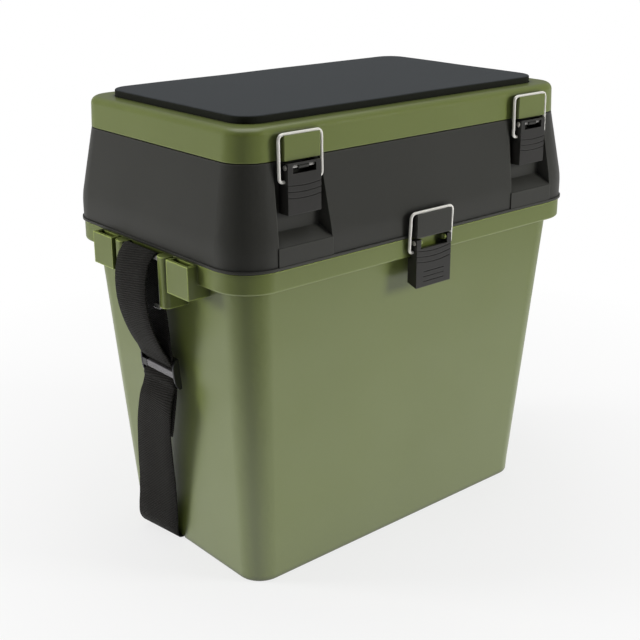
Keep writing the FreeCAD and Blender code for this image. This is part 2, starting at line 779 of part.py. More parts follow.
def make_tray_box():
    body = new_body("tray_box_shell")
    bottom = rounded_sketch(body, "box_foot", d.box_bottom, d.box_half_x, d.box_half_y, d.box_corner)
    step = pad(body, "box_skirt", bottom, d.box_bend_z - d.box_bottom)
    bend_low = rounded_sketch(body, "box_bend", d.box_bend_z, d.box_half_x, d.box_half_y, d.box_corner)
    bend_high = rounded_sketch(
        body, "box_rim", d.box_top, d.box_top_half_x, d.box_top_half_y, d.box_top_corner
    )
    step = loft(body, "box_slope", bend_low, bend_high)
    step = round_edges(
        body, "box_bend_edge", step, d.box_bend_round, lambda point: near(point.z, d.box_bend_z)
    )
    lip = rounded_sketch(
        body,
        "lip",
        d.box_bottom,
        d.box_half_x + d.lip_out,
        d.box_half_y + d.lip_out,
        d.box_corner + d.lip_out,
    )
    step = pad(body, "lip_flange", lip, d.lip_height)

    hollow_low = rounded_sketch(
        body,
        "hollow_low",
        d.box_bottom + d.box_floor,
        d.box_half_x - d.box_wall,
        d.box_half_y - d.box_wall,
        d.box_corner - d.box_wall,
    )
    pocket(body, "hollow_skirt", hollow_low, d.box_bend_z - d.box_bottom - d.box_floor, along_normal=True)
    hollow_bend = rounded_sketch(
        body,
        "hollow_bend",
        d.box_bend_z,
        d.box_half_x - d.box_wall,
        d.box_half_y - d.box_wall,
        d.box_corner - d.box_wall,
    )
    hollow_top = rounded_sketch(
        body,
        "hollow_top",
        d.box_top,
        d.box_top_half_x - d.box_wall,
        d.box_top_half_y - d.box_wall,
        d.box_top_corner - d.box_wall,
    )
    loft(body, "hollow_slope", hollow_bend, hollow_top, cutting=True)

    backing_y = d.recess_back_y - d.box_wall
    middle = d.box_wall / 2
    for side, sign in SIDES:
        backing = new_sketch(body, f"backing_{side}", "YZ_Plane", sign * d.latch_x)
        add_outline(
            backing,
            [
                (-(d.box_half_y - middle), d.box_bottom + d.box_floor / 2),
                (-(d.box_half_y - middle), d.box_bend_z),
                (-(d.box_top_half_y - middle), d.box_top),
                (-backing_y, d.box_top),
                (-backing_y, d.box_bottom + d.box_floor / 2),
            ],
        )
        width = 2 * (d.recess_front_half + d.box_wall)
        pad(body, f"backing_block_{side}", backing, width, both_ways=True)

    plug = new_sketch(body, "plug", offset=d.box_bottom)
    plug_x = d.wall_half_x - d.tub_wall - d.plug_gap
    plug_y = d.wall_half_y - d.tub_wall - d.plug_gap
    plug_corner = d.wall_corner - d.tub_wall - d.plug_gap
    add_rounded(plug, plug_x, plug_y, plug_corner)
    add_rounded(plug, plug_x - d.plug_wall, plug_y - d.plug_wall, plug_corner - d.plug_wall)
    plug_rim = body.newObject("PartDesign::Pad", "plug_rim")
    plug_rim.Profile = plug
    bind(plug_rim, "Length", d.box_plug_depth)
    plug_rim.Reversed = True
    checked_step(body, plug_rim, grows=True)

    pieces = [body]
    for side, sign in SIDES:
        rail_x = d.box_half_x - d.box_corner
        rail_y = d.box_half_y - d.box_wall - middle
        span = (-rail_y, -d.rail_inner_y) if sign < 0 else (d.rail_inner_y, rail_y)
        rail_z = (d.rail_top - d.rail_height, d.rail_top)
        pieces.append(span_box(f"rail_{side}", (-rail_x, rail_x), span, rail_z))
        x = sign * d.latch_x
        pieces.append(
            span_box(
                f"recess_panel_{side}",
                (x - d.recess_front_half, x + d.recess_front_half),
                (-(d.box_half_y + d.panel_out), -(d.box_half_y - middle)),
                (d.box_bottom + d.lip_height / 2, d.recess_shelf_front + d.overlap),
            )
        )
        pieces += knuckles(
            f"box_knuckle_{side}",
            sign * d.hinge_x,
            tub_hinge_y,
            tub_hinge_z,
            d.box_half_y - d.overlap,
            above=True,
            outer=False,
        )
        pieces += knuckles(
            f"box_lid_knuckle_{side}",
            sign * d.hinge_x,
            lid_hinge_y,
            lid_hinge_z,
            d.box_top_half_y - d.overlap,
            above=False,
            outer=True,
        )
    keeper_x = (-d.tub_keeper_half, d.tub_keeper_half)
    pieces.append(
        span_box(
            "tub_keeper",
            keeper_x,
            (-d.tub_keeper_front, -(d.box_half_y - middle)),
            (d.tub_keeper_bottom, d.tub_keeper_floor),
        )
    )
    pieces.append(
        span_box(
            "tub_keeper_lip",
            keeper_x,
            (-d.tub_keeper_front, -d.tub_keeper_front + d.keeper_lip),
            (d.tub_keeper_floor - d.overlap, d.tub_keeper_floor + d.keeper_lip_height),
        )
    )
    joined = join("tray_box_joined", pieces)
    front_y = d.box_half_y + d.panel_out + d.overlap
    tools = hinge_bores("box_hinge_bore", tub_hinge_y, tub_hinge_z)
    tools += hinge_bores("box_lid_hinge_bore", lid_hinge_y, lid_hinge_z)
    for side, sign in SIDES:
        recess = doc.addObject("Part::Wedge", f"recess_{side}")
        sizes = {
            "Xmin": -d.recess_front_half,
            "Xmax": d.recess_front_half,
            "Zmin": d.recess_shelf_front,
            "Zmax": d.box_top + d.overlap,
            "Ymin": -front_y,
            "Ymax": -d.recess_back_y,
            "X2min": -d.recess_back_half,
            "X2max": d.recess_back_half,
            "Z2min": d.recess_shelf_back,
            "Z2max": d.box_top + d.overlap,
        }
        for prop, size in sizes.items():
            bind(recess, prop, size)
        tools.append(place(recess, sign * d.latch_x))
    recessed = cut("tray_box_recessed", joined, join("tray_box_tools", tools))
    lugs = [recessed]
    bores = []
    for side, sign in SIDES:
        start = sign * d.latch_x - d.lid_lug_half
        end = sign * d.latch_x + d.lid_lug_half
        lugs.append(
            rod(f"lid_lug_eye_{side}", d.lid_lug_radius, 2 * d.lid_lug_half, start,
                -d.lid_pin_y, d.lid_pin_z, "x")
        )
        lugs.append(
            span_box(
                f"lid_lug_{side}",
                (start, end),
                (-d.lid_pin_y, -d.recess_back_y + d.overlap),
                (d.lid_pin_z - d.lid_lug_radius, d.lid_pin_z + d.lid_lug_rise),
            )
        )
        bores.append(
            rod(f"lid_pin_bore_{side}", hole_radius, 4 * d.lid_lug_half,
                sign * d.latch_x - 2 * d.lid_lug_half, -d.lid_pin_y, d.lid_pin_z, "x")
        )
    with_lugs = join("tray_box_with_lugs", lugs)
    sub_part(cut("tray_box", with_lugs, join("lid_pin_bores", bores)), "tray_box")


# Lid: a ribbed shell with a shallow bed for the seat pad and two keepers in front

def make_lid():
    body = new_body("lid_shell")
    low = rounded_sketch(
        body, "lid_low", lid_bottom, d.box_top_half_x, d.box_top_half_y, d.box_top_corner
    )
    step = pad(body, "lid_block", low, d.lid_height, flare=-d.lid_draft)
    round_edges(body, "lid_edge", step, d.lid_round, lambda point: near(point.z, lid_top))
    bed = rounded_sketch(
        body,
        "pad_bed",
        lid_top,
        d.pad_half_x + d.pad_gap,
        d.pad_half_y + d.pad_gap,
        d.pad_corner + d.pad_gap,
    )
    pocket(body, "pad_bed_cut", bed, d.pad_recess)
    inside = rounded_sketch(
        body,
        "lid_inside",
        lid_bottom,
        d.box_top_half_x - d.lid_draft - d.lid_wall,
        d.box_top_half_y - d.lid_draft - d.lid_wall,
        d.box_top_corner - d.lid_wall,
    )
    depth = d.lid_height - d.pad_recess - d.lid_top_wall
    pocket(body, "lid_hollow", inside, depth, along_normal=True)

    pieces = [body]
    roof = lid_bottom + depth
    rib_y = d.box_top_half_y - d.lid_draft - d.lid_wall / 2
    for index, name in enumerate(("left", "middle", "right")):
        x = (index - 1) * d.lid_rib_spacing
        pieces.append(
            span_box(
                f"lid_rib_{name}",
                (x - d.lid_rib / 2, x + d.lid_rib / 2),
                (-rib_y, rib_y),
                (roof - d.lid_rib_depth, roof + d.lid_top_wall / 2),
            )
        )
    keeper_front = d.box_top_half_y + d.lid_keeper_out
    for side, sign in SIDES:
        x = sign * d.latch_x
        span = (x - d.lid_keeper_half, x + d.lid_keeper_half)
        floor = lid_bottom + d.lid_keeper_height
        wall_y = d.box_top_half_y - d.lid_draft - d.lid_wall / 2
        pieces.append(
            span_box(f"lid_keeper_{side}", span, (-keeper_front, -wall_y), (lid_bottom, floor))
        )
        pieces.append(
            span_box(
                f"lid_keeper_lip_{side}",
                span,
                (-keeper_front, d.keeper_lip - keeper_front),
                (floor - d.overlap, floor + d.keeper_lip_height),
            )
        )
        pieces += knuckles(
            f"lid_knuckle_{side}",
            sign * d.hinge_x,
            lid_hinge_y,
            lid_hinge_z,
            d.box_top_half_y - d.lid_wall / 2,
            above=True,
            outer=False,
        )
    bores = hinge_bores("lid_hinge_bore", lid_hinge_y, lid_hinge_z)
    sub_part(cut("lid", join("lid_joined", pieces), join("lid_bores", bores)), "lid")


# Seat pad: a foam slab bedded in the lid

def make_seat_pad():
    body = new_body("seat_pad")
    floor = lid_top - d.pad_recess + d.pad_gap
    slab = rounded_sketch(body, "slab", floor, d.pad_half_x, d.pad_half_y, d.pad_corner)
    top = lid_top + d.pad_show
    step = pad(body, "slab_block", slab, top - floor)
    round_edges(body, "slab_edge", step, d.pad_round, lambda point: near(point.z, top))
    sub_part(body, "seat_pad")


# Lift-out trays, one at each end of the tray box

def make_lift_tray(side, sign):
    body = new_body(f"tray_shell_{side}")
    half_x = (d.tray_outer_x - d.tray_inner_x) / 2
    floor = d.rail_top + d.tray_gap
    block = rounded_sketch(body, f"tray_block_{side}", floor, half_x, d.tray_half_y, d.tray_corner)
    pad(body, f"tray_solid_{side}", block, d.tray_height)
    rim = rounded_sketch(
        body,
        f"tray_rim_{side}",
        floor + d.tray_height - d.tray_rim_height,
        half_x + d.tray_rim,
        d.tray_half_y + d.tray_rim,
        d.tray_corner + d.tray_rim,
    )
    pad(body, f"tray_flange_{side}", rim, d.tray_rim_height)
    inner_x = half_x - d.tray_wall
    inner_y = d.tray_half_y - d.tray_wall
    inner_corner = d.tray_corner - d.tray_wall
    top = floor + d.tray_height
    inside = rounded_sketch(body, f"tray_inside_{side}", top, inner_x, inner_y, inner_corner)
    pocket(body, f"tray_hollow_{side}", inside, d.tray_height - d.tray_wall)
    pieces = [body]
    for index, y_sign in enumerate((-1, 1)):
        middle = y_sign * inner_y / 3
        pieces.append(
            span_box(
                f"tray_divider_{side}_{index}",
                (-half_x + d.tray_wall / 2, half_x - d.tray_wall / 2),
                (middle - d.tray_wall / 2, middle + d.tray_wall / 2),
                (floor + d.tray_wall / 2, top - d.divider_drop),
            )
        )
    tray = join(f"lift_tray_{side}", pieces)
    place(tray, sign * (d.tray_inner_x + half_x))
    sub_part(tray, f"lift_tray_{side}")


# Latch levers: a front web, two cheeks that fork above the window, and bores for pin and bail

def make_lever(name, x, half, cheek, front, back, web, bottom, slant, window, pin_y, pin_z,
               top_rise, back_rise, step_z, step_back, bail_y, bail_z, bail_wire, groove_z,
               bars=0, rim=None, rim_bottom=None):
    body = new_body(name + "_block")
    side_view = new_sketch(body, name + "_side", "YZ_Plane")
    top_z = pin_z + top_rise
    outline = [
        (-front, bottom),
        (-back, bottom + slant),
        (-back, step_z),
        (-step_back, step_z + d.side_play),
        (-step_back, pin_z),
        (-pin_y + back_rise, top_z),
        (-front, top_z),
    ]
    add_outline(side_view, outline)
    pad(body, name + "_solid", side_view, 2 * half, both_ways=True)
    channel = new_sketch(body, name + "_channel", "YZ_Plane")
    inner_y = -front + web
    floor = bottom + slant + web
    add_outline(channel, rectangle((inner_y, -back + d.overlap), (floor, top_z + d.overlap)))
    pocket(body, name + "_channel_cut", channel, 2 * (half - cheek), both_ways=True)
    gap = new_sketch(body, name + "_window", "YZ_Plane")
    if rim is None:
        add_outline(gap, rectangle((-front - d.overlap, inner_y + d.overlap), (window, top_z + d.overlap)))
    else:
        rim_y = -front + rim
        window_outline = [
            (-front - d.overlap, window),
            (inner_y + d.overlap, window),
            (inner_y + d.overlap, top_z + d.overlap),
            (rim_y, top_z + d.overlap),
            (rim_y, rim_bottom),
            (-front - d.overlap, rim_bottom),
        ]
        add_outline(gap, window_outline)
    pocket(body, name + "_window_cut", gap, 2 * (half - cheek), both_ways=True)

    tools = [
        rod(name + "_pin_bore", hole_radius, 4 * half, -2 * half, -pin_y, pin_z, "x"),
        rod(name + "_bail_bore", bail_wire / 2 + d.fit, 4 * half, -2 * half, -bail_y, bail_z, "x"),
    ]
    for index in range(3):
        centre_z = groove_z - index * d.groove_pitch + d.groove_radius
        outer = rod(f"{name}_arc_{index}", d.groove_radius, d.groove_depth + d.overlap,
                    0.0, -front - d.overlap, centre_z, "y")
        inner = rod(f"{name}_arc_core_{index}", d.groove_radius - d.groove_width,
                    d.groove_depth + d.overlap, 0.0, -front - d.overlap, centre_z, "y")
        tools.append(cut(f"{name}_arc_groove_{index}", outer, inner))
    for index in range(bars):
        level = bottom + d.grip_pitch + index * d.grip_pitch
        tools.append(
            span_box(f"{name}_bar_{index}", (-0.6 * half, 0.6 * half),
                     (-front - d.overlap, -front + d.groove_depth), (level, level + d.groove_width))
        )
    lever = cut(name, body, join(name + "_tools", tools))
    place(lever, x)
    sub_part(lever, name)


def make_latches():
    lug_reach = d.recess_back_y + d.side_play
    for side, sign in SIDES:
        x = sign * d.latch_x
        make_lever(
            f"lid_latch_lever_{side}", x, d.lid_lever_half, d.lid_lever_cheek, d.lid_lever_front,
            d.lid_lever_back, d.lid_lever_web, d.lid_lever_bottom, as_size(0.0),
            d.lid_window_bottom, d.lid_pin_y, d.lid_pin_z, d.lid_lever_top, d.lid_lever_back_rise,
            d.lid_pin_z - d.lid_lever_step, lug_reach, d.lid_bail_pivot_y, d.lid_bail_pivot_z,
            d.lid_bail_wire, d.lid_groove_z, rim=d.lid_lever_rim, rim_bottom=d.lid_rim_bottom,
        )
        length = 2 * (d.lid_lever_half + d.side_play / 2)
        sub_part(
            pin(f"lid_latch_pin_{side}", pin_radius, d.pin_head / 2, d.pin_head_thick, length,
                x, -d.lid_pin_y, d.lid_pin_z),
            f"lid_latch_pin_{side}",
        )
        make_bail(
            f"lid_latch_bail_{side}", x, d.lid_bail_wire, d.lid_bail_half, d.lid_bail_bend,
            d.lid_lever_half, d.lid_bail_pivot_y, d.lid_bail_pivot_z, d.lid_bail_bar_y,
            d.lid_bail_bar_z,
        )
    make_lever(
        "tub_latch_lever", as_size(0.0), d.tub_lever_half, d.tub_lever_cheek, d.tub_lever_front,
        d.tub_lever_back, d.tub_lever_web, d.tub_lever_bottom, d.tub_lever_slant,
        d.tub_window_bottom, d.tub_pin_y, d.tub_pin_z, d.tub_lever_top, d.tub_lever_back_rise,
        d.band_bottom - d.tub_lever_step, d.band_half_y + d.tub_lever_clear,
        d.tub_bail_pivot_y, d.tub_bail_pivot_z,
        d.tub_bail_wire, d.tub_groove_z, bars=3,
    )
    inner_end = d.tub_lug_half - d.tub_lug_thick
    stub = d.tub_lever_half + d.side_play / 2 - inner_end
    pins = []
    for side, sign in SIDES:
        start = inner_end if sign > 0 else -(inner_end + stub)
        head = inner_end + stub if sign > 0 else -(inner_end + stub + d.pin_head_thick)
        pins.append(rod(f"tub_pin_shank_{side}", pin_radius, stub, start,
                        -d.tub_pin_y, d.tub_pin_z, "x"))
        pins.append(rod(f"tub_pin_head_{side}", d.pin_head / 2, d.pin_head_thick, head,
                        -d.tub_pin_y, d.tub_pin_z, "x"))
    sub_part(join("tub_latch_pins", pins), "tub_latch_pins")
    make_bail(
        "tub_latch_bail", as_size(0.0), d.tub_bail_wire, d.tub_bail_half, d.tub_bail_bend,
        d.tub_lever_half, d.tub_bail_pivot_y, d.tub_bail_pivot_z, d.tub_bail_bar_y,
        d.tub_bail_bar_z,
    )


def make_bail(name, x, wire, half, corner, lever_half, pivot_y, pivot_z, bar_y, bar_z):
    """A wire bail from its pivot in the lever to the bar that sits on the keeper."""
    rise = bar_z - pivot_z
    out = bar_y - pivot_y
    end = half - d.bail_elbow - lever_half + d.bail_end
    bail = wire_loop(name, wire, half, rise, corner, d.bail_elbow, end)
    lean = math.degrees(math.atan2(float(out), float(rise)))
    place(bail, x, -pivot_y, pivot_z, Rotation(V(1, 0, 0), lean))
    sub_part(bail, name)


def make_hinge_pins():
    reach = d.knuckle_half + d.knuckle_gap + d.knuckle_outer
    for name, y, z in (
        ("lid_hinge_pin", lid_hinge_y, lid_hinge_z),
        ("tray_box_hinge_pin", tub_hinge_y, tub_hinge_z),
    ):
        for side, sign in SIDES:
            piece = pin(f"{name}_{side}", d.hinge_pin / 2, d.hinge_head / 2, d.pin_head_thick,
                        2 * reach + d.side_play, sign * d.hinge_x, y, z)
            sub_part(piece, f"{name}_{side}")


# Strap bars, adjusters and webbing

def make_strap_bars():
    for side, sign in SIDES:
        sub_part(strap_bar_wire(f"strap_bar_{side}", 0.0, side, sign), f"strap_bar_{side}")


def make_adjuster(side, sign):
    """A slotted frame with bowed cheeks that stand proud, and the bar the webbing wraps round."""
    name = f"strap_adjuster_{side}"
    half_y = d.glide_width / 2
    half_z = d.glide_height / 2
    slot_y = half_y - d.glide_side
    front = d.glide_thick / 2
    body = new_body(name + "_body")
    cheek = new_sketch(body, name + "_cheek", "XZ_Plane")
    add_outline(
        cheek,
        [
            (-front, -half_z),
            (front, -half_z),
            (d.glide_cheek_out - d.glide_cheek_bow / 2, -half_z + d.glide_rail),
            (d.glide_cheek_out, -d.glide_bar),
            (d.glide_cheek_out, d.glide_bar),
            (d.glide_cheek_out - d.glide_cheek_bow / 2, half_z - d.glide_rail),
            (front, half_z),
            (-front, half_z),
        ],
    )
    pad(body, name + "_block", cheek, d.glide_width, both_ways=True)
    between = new_sketch(body, name + "_between", "XZ_Plane")
    over_z = half_z + d.overlap
    add_outline(between, rectangle((front, d.glide_cheek_out + d.overlap), (-over_z, over_z)))
    pocket(body, name + "_front", between, 2 * slot_y, both_ways=True)
    opening = new_sketch(body, name + "_opening", "YZ_Plane")
    add_outline(
        opening, rectangle((-slot_y, slot_y), (d.glide_rail - half_z, half_z - d.glide_rail))
    )
    pocket(body, name + "_slot", opening, 2 * d.glide_thick, both_ways=True)
    bar_front = d.glide_bar_out + d.glide_bar_thick / 2
    bar = span_box(name + "_bar", (bar_front - d.glide_bar_thick, bar_front),
                   (-half_y + d.glide_side / 2, half_y - d.glide_side / 2),
                   (-d.glide_bar / 2, d.glide_bar / 2))
    adjuster = join(name, [body, bar])
    lean = Rotation(V(0, 1, 0), math.degrees(math.atan(float(d.glide_lean))))
    turn = Rotation(V(0, 0, 1), 180).multiply(lean) if sign < 0 else lean
    place(adjuster, sign * d.glide_x, 0.0, d.glide_z, turn)
    sub_part(adjuster, name)


def strap_route():
    """Stations of the webbing on one side, from the free tail to the middle of the base.

    Each is how far out from the box's centre it lies, its height, how far its middle is shifted
    towards the back, and how much further out its rear edge lies than its front edge.
    """
    thick = float(d.strap_thick)
    gap = float(d.strap_gap)
    layer = thick + gap
    glide = float(d.glide_x)
    level = float(d.glide_z)
    over_rail = float(d.glide_thick) / 2 + float(d.glide_gap) + thick / 2
    behind_bar = (
        float(d.glide_bar_out) - float(d.glide_bar_thick) / 2 - float(d.glide_gap) - thick / 2
    )
    bar_edge = float(d.glide_bar) / 2 + 0.7
    rail_edge = float(d.glide_height) / 3 + 0.07
    clear = float(d.glide_height) / 2 + 0.5
    bar_x = float(d.bar_x)
    bar_z = float(d.bar_z)
    rise = bar_z - level
    turn = float(d.bar_wire) / 2 + float(d.bar_gap) + thick / 2
    floor = float(d.strap_lift) + thick / 2
    base = float(d.base_half_x)
    shift = float(d.strap_shift)

    def by_glide(out, up):
        """A station beside the adjuster, which leans outwards at its top."""
        return (glide + out + float(d.glide_lean) * up, level + up, 0.0, 0.0)

    tail = [
        (glide + 3.4, 0.7 * level, 7.0, 2.4),
        (glide + 3.2, 0.769 * level, 3.5, 1.2),
        (glide + 2.6, 0.838 * level, 1.0, 0.3),
        by_glide(over_rail, -clear),
        by_glide(over_rail, -rail_edge),
        by_glide(behind_bar - layer, -bar_edge),
        by_glide(behind_bar - layer, bar_edge),
        by_glide(over_rail, rail_edge),
        by_glide(over_rail, clear),
        (glide + 4.9, level + 0.217 * rise, 0.0, 0.0),
        (glide + 6.6, level + 0.434 * rise, 0.0, 0.0),
        (bar_x - turn - 2.0, level + 0.652 * rise, 0.0, 0.0),
        (bar_x - turn - gap, level + 0.822 * rise, 0.0, 0.0),
    ]
    over_bar = [
        (bar_x - turn * math.cos(math.radians(angle)), bar_z + turn * math.sin(math.radians(angle)),
         0.0, 0.0)
        for angle in range(0, 151, 30)
    ]
    fall = [
        (bar_x + 7.4, bar_z - 0.05 * rise, 0.0, 0.0),
        (bar_x + 10.8, bar_z - 0.174 * rise, 0.0, 0.0),
        (bar_x + 11.5, bar_z - 0.302 * rise, 0.0, 0.0),
        (bar_x + 10.0, bar_z - 0.45 * rise, 0.0, 0.0),
        (bar_x + 6.0, bar_z - 0.598 * rise, 0.0, 0.0),
        (bar_x - 0.2, bar_z - 0.746 * rise, 0.0, 0.0),
        (glide + 8.4, bar_z - 0.847 * rise, 0.0, 0.0),
        by_glide(over_rail + layer, rail_edge),
        by_glide(behind_bar, bar_edge),
        by_glide(behind_bar, -bar_edge),
        by_glide(over_rail + layer, -rail_edge),
        by_glide(over_rail + layer + gap, -clear),
        (glide + 7.0, 0.838 * level, 1.0, 0.0),
        (glide + 5.6, 0.7 * level, 8.0, 2.5),
        (glide + 2.9, 0.574 * level, 13.0, 5.0),
        (glide + 0.2, 0.459 * level, 17.0, 7.0),
        (glide - 2.9, 0.344 * level, 21.0, 8.5),
        (glide - 5.2, 0.229 * level, 25.0, 10.5),
        (glide - 6.6, 0.138 * level, shift - 6.0, 12.0),
        (glide - 8.6, 0.069 * level, shift - 2.5, 10.0),
        (base + 6.9, floor + 2.6, shift - 0.5, 5.0),
        (base - 2.2, floor, shift, 0.0),
        (base - 22.7, floor, shift, 0.0),
    ]
    return tail + over_bar + fall


def smooth(points, steps):
    """Points on a smooth curve through the given ones, with a few steps in each span."""
    result = []
    last = len(points) - 1
    for index in range(last):
        a = points[max(index - 1, 0)]
        b = points[index]
        c = points[index + 1]
        e = points[min(index + 2, last)]
        for step in range(steps):
            t = step / steps
            result.append(
                tuple(
                    0.5 * (2 * q + (r - p) * t + (2 * p - 5 * q + 4 * r - s) * t * t
                           + (3 * q - p - 3 * r + s) * t ** 3)
                    for p, q, r, s in zip(a, b, c, e)
                )
            )
    result.append(points[-1])
    return result


def strap_sections(stations):
    """Rectangles across the webbing at each station, all wound the same way."""
    width = float(d.strap_width)
    thick = float(d.strap_thick)
    places = [V(x, y, z) for x, z, y, _ in stations]
    sections = []
    for index, (_, _, _, twist) in enumerate(stations):
        before = places[max(index - 1, 0)]
        after = places[min(index + 1, len(places) - 1)]
        along = (after - before).normalize()
        across = V(twist / width, 1, 0)
        across = (across - along * across.dot(along)).normalize()
        normal = along.cross(across).normalize()
        middle = places[index]
        corners = [
            middle + across * (a * width / 2) + normal * (b * thick / 2)
            for a, b in ((-1, -1), (1, -1), (1, 1), (-1, 1))
        ]
        sections.append(Part.makePolygon(corners + corners[:1]))
    return sections


def make_strap():
    one_side = smooth(strap_route(), 2)
    right = [(x, z, y, twist) for x, z, y, twist in one_side]
    left = [(-x, z, y, -twist) for x, z, y, twist in reversed(one_side)]
    sections = strap_sections(right + left)
    strap = doc.addObject("Part::Feature", "carry_strap")
    strap.Shape = Part.makeLoft(sections, True, True)
    strap.Placement = FreeCAD.Placement()
    sub_part(strap, "carry_strap")


make_tub()
make_tray_box()
make_lid()
make_seat_pad()
for side, sign in SIDES:
    make_lift_tray(side, sign)
make_latches()
make_hinge_pins()
make_strap_bars()
for side, sign in SIDES:
    make_adjuster(side, sign)
make_strap()

doc.recompute()
for item in doc.Objects:
    if "Invalid" in item.State or "Error" in item.State:
        raise RuntimeError(f"{item.Name} did not compute: {item.State}")
os.makedirs("parts", exist_ok=True)
for item in parts:
    shape = item.Shape
    if shape.isNull() or not shape.isValid():
        raise RuntimeError(f"{item.Label} has no valid shape")
    shape.exportStep(os.path.join("parts", item.Label + ".step"))
    size = shape.BoundBox
    print(f"{item.Label:26s} solids {len(shape.Solids)} volume {shape.Volume / 1000:9.2f} cm3"
          f"  x {size.XMin:7.1f}..{size.XMax:7.1f} y {size.YMin:7.1f}..{size.YMax:7.1f}"
          f" z {size.ZMin:6.1f}..{size.ZMax:6.1f}")
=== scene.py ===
import math

import bmesh
import bpy
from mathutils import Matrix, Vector, noise


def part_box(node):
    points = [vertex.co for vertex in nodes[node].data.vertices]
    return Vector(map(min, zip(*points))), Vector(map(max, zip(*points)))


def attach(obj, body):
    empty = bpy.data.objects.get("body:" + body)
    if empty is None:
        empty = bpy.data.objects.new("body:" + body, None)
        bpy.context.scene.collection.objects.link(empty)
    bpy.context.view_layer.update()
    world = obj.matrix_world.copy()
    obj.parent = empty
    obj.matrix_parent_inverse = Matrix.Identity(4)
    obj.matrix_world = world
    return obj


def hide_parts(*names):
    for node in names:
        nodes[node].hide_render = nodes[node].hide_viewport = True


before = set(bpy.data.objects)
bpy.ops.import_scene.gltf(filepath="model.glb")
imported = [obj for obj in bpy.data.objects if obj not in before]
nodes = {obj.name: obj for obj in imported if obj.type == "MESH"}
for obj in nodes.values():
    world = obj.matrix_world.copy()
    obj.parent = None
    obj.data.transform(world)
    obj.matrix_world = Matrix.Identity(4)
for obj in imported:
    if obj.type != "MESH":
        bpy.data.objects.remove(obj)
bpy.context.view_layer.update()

SIDES = (("left", -1), ("right", 1))


def linear(red, green, blue):
    """A colour as seen on a screen, 0 to 255, in linear light."""
    return tuple((c / 255 / 12.92 if c < 10 else ((c / 255 + 0.055) / 1.055) ** 2.4) for c in (red, green, blue))


def scaled(colour, factor):
    return tuple(factor * c for c in colour)


# Nodes of the materials

def new_material(name):
    """A material with one Principled shader linked to its output."""
    made = bpy.data.materials.new(name)
    made.use_nodes = True
    tree = made.node_tree
    tree.nodes.clear()
    output = tree.nodes.new("ShaderNodeOutputMaterial")
    shader = tree.nodes.new("ShaderNodeBsdfPrincipled")
    tree.links.new(shader.outputs[0], output.inputs[0])
    return made, tree, shader


def add(tree, kind, **values):
    """A node with its properties and unlinked inputs set by name."""
    node = tree.nodes.new(kind)
    for key, value in values.items():
        if hasattr(node, key):
            setattr(node, key, value)
        else:
            node.inputs[key.replace("_", " ")].default_value = value
    return node


def ramp(tree, source, low, high, dark, light):
    """From low to high the output goes from dark to light, and it stays there beyond them."""
    node = tree.nodes.new("ShaderNodeMapRange")
    tree.links.new(source, node.inputs[0])
    for index, value in enumerate((low, high, dark, light), start=1):
        node.inputs[index].default_value = value
    return node.outputs[0]


def maths(tree, operation, *sources):
    """A sum, product or the like of outputs and plain numbers."""
    node = add(tree, "ShaderNodeMath", operation=operation)
    for index, source in enumerate(sources):
        if isinstance(source, (int, float)):
            node.inputs[index].default_value = source
        else:
            tree.links.new(source, node.inputs[index])
    return node.outputs[0]


def dot_product(tree, source, other):
    """Of an output with another output or with a plain direction."""
    node = add(tree, "ShaderNodeVectorMath", operation="DOT_PRODUCT")
    tree.links.new(source, node.inputs[0])
    if isinstance(other, tuple):
        node.inputs[1].default_value = other
    else:
        tree.links.new(other, node.inputs[1])
    return node.outputs["Value"]


def blend_colours(tree, factor, first, second):
    """From the first to the second, each an output or a plain colour."""
    node = add(tree, "ShaderNodeMix", data_type="RGBA")
    tree.links.new(factor, node.inputs[0])
    for socket, colour in ((node.inputs[6], first), (node.inputs[7], second)):
        if isinstance(colour, tuple):
            socket.default_value = (*colour, 1)
        else:
            tree.links.new(colour, socket)
    return node.outputs[2]


def object_coords(tree):
    return tree.nodes.new("ShaderNodeTexCoord").outputs["Object"]


def surface_normal(tree):
    return tree.nodes.new("ShaderNodeNewGeometry").outputs["Normal"]


def noise_at(tree, coords, scale, detail=3.0, stretch=None):
    """Clouds or grains, as many to the metre as the scale says."""
    if stretch:
        mapping = tree.nodes.new("ShaderNodeMapping")
        mapping.inputs["Scale"].default_value = stretch
        tree.links.new(coords, mapping.inputs[0])
        coords = mapping.outputs[0]
    node = add(tree, "ShaderNodeTexNoise", Scale=scale, Detail=detail)
    tree.links.new(coords, node.inputs["Vector"])
    return node.outputs[0]


def rounded_edges(tree, radius):
    """The surface's directions, with its edges rounded to that radius in metres."""
    return add(tree, "ShaderNodeBevel", samples=6, Radius=radius).outputs[0]


def edges_within(tree, width):
    """1 on edges and 0 on faces farther from them than that width in metres."""
    return ramp(tree, dot_product(tree, rounded_edges(tree, width), surface_normal(tree)), 0.995, 0.92, 0.0, 1.0)


def bumped(tree, shader, height, distance, strength, edge=0.0):
    """A bump on the shader, over edges that are softened to that radius in metres."""
    node = add(tree, "ShaderNodeBump", Strength=strength, Distance=distance)
    tree.links.new(height, node.inputs["Height"])
    tree.links.new(node.outputs[0], shader.inputs["Normal"])
    if edge:
        tree.links.new(rounded_edges(tree, edge), node.inputs["Normal"])


# Plastic

MOULD_FLOW = (1.0, 1.0, 0.35)
CREASE_REACH = 0.006
PAINTED_CREASE_SHADE = 0.35
HIGHLIGHT_WIDTH = 1.9
PAINTED_HIGHLIGHT_LIGHT = 3.2


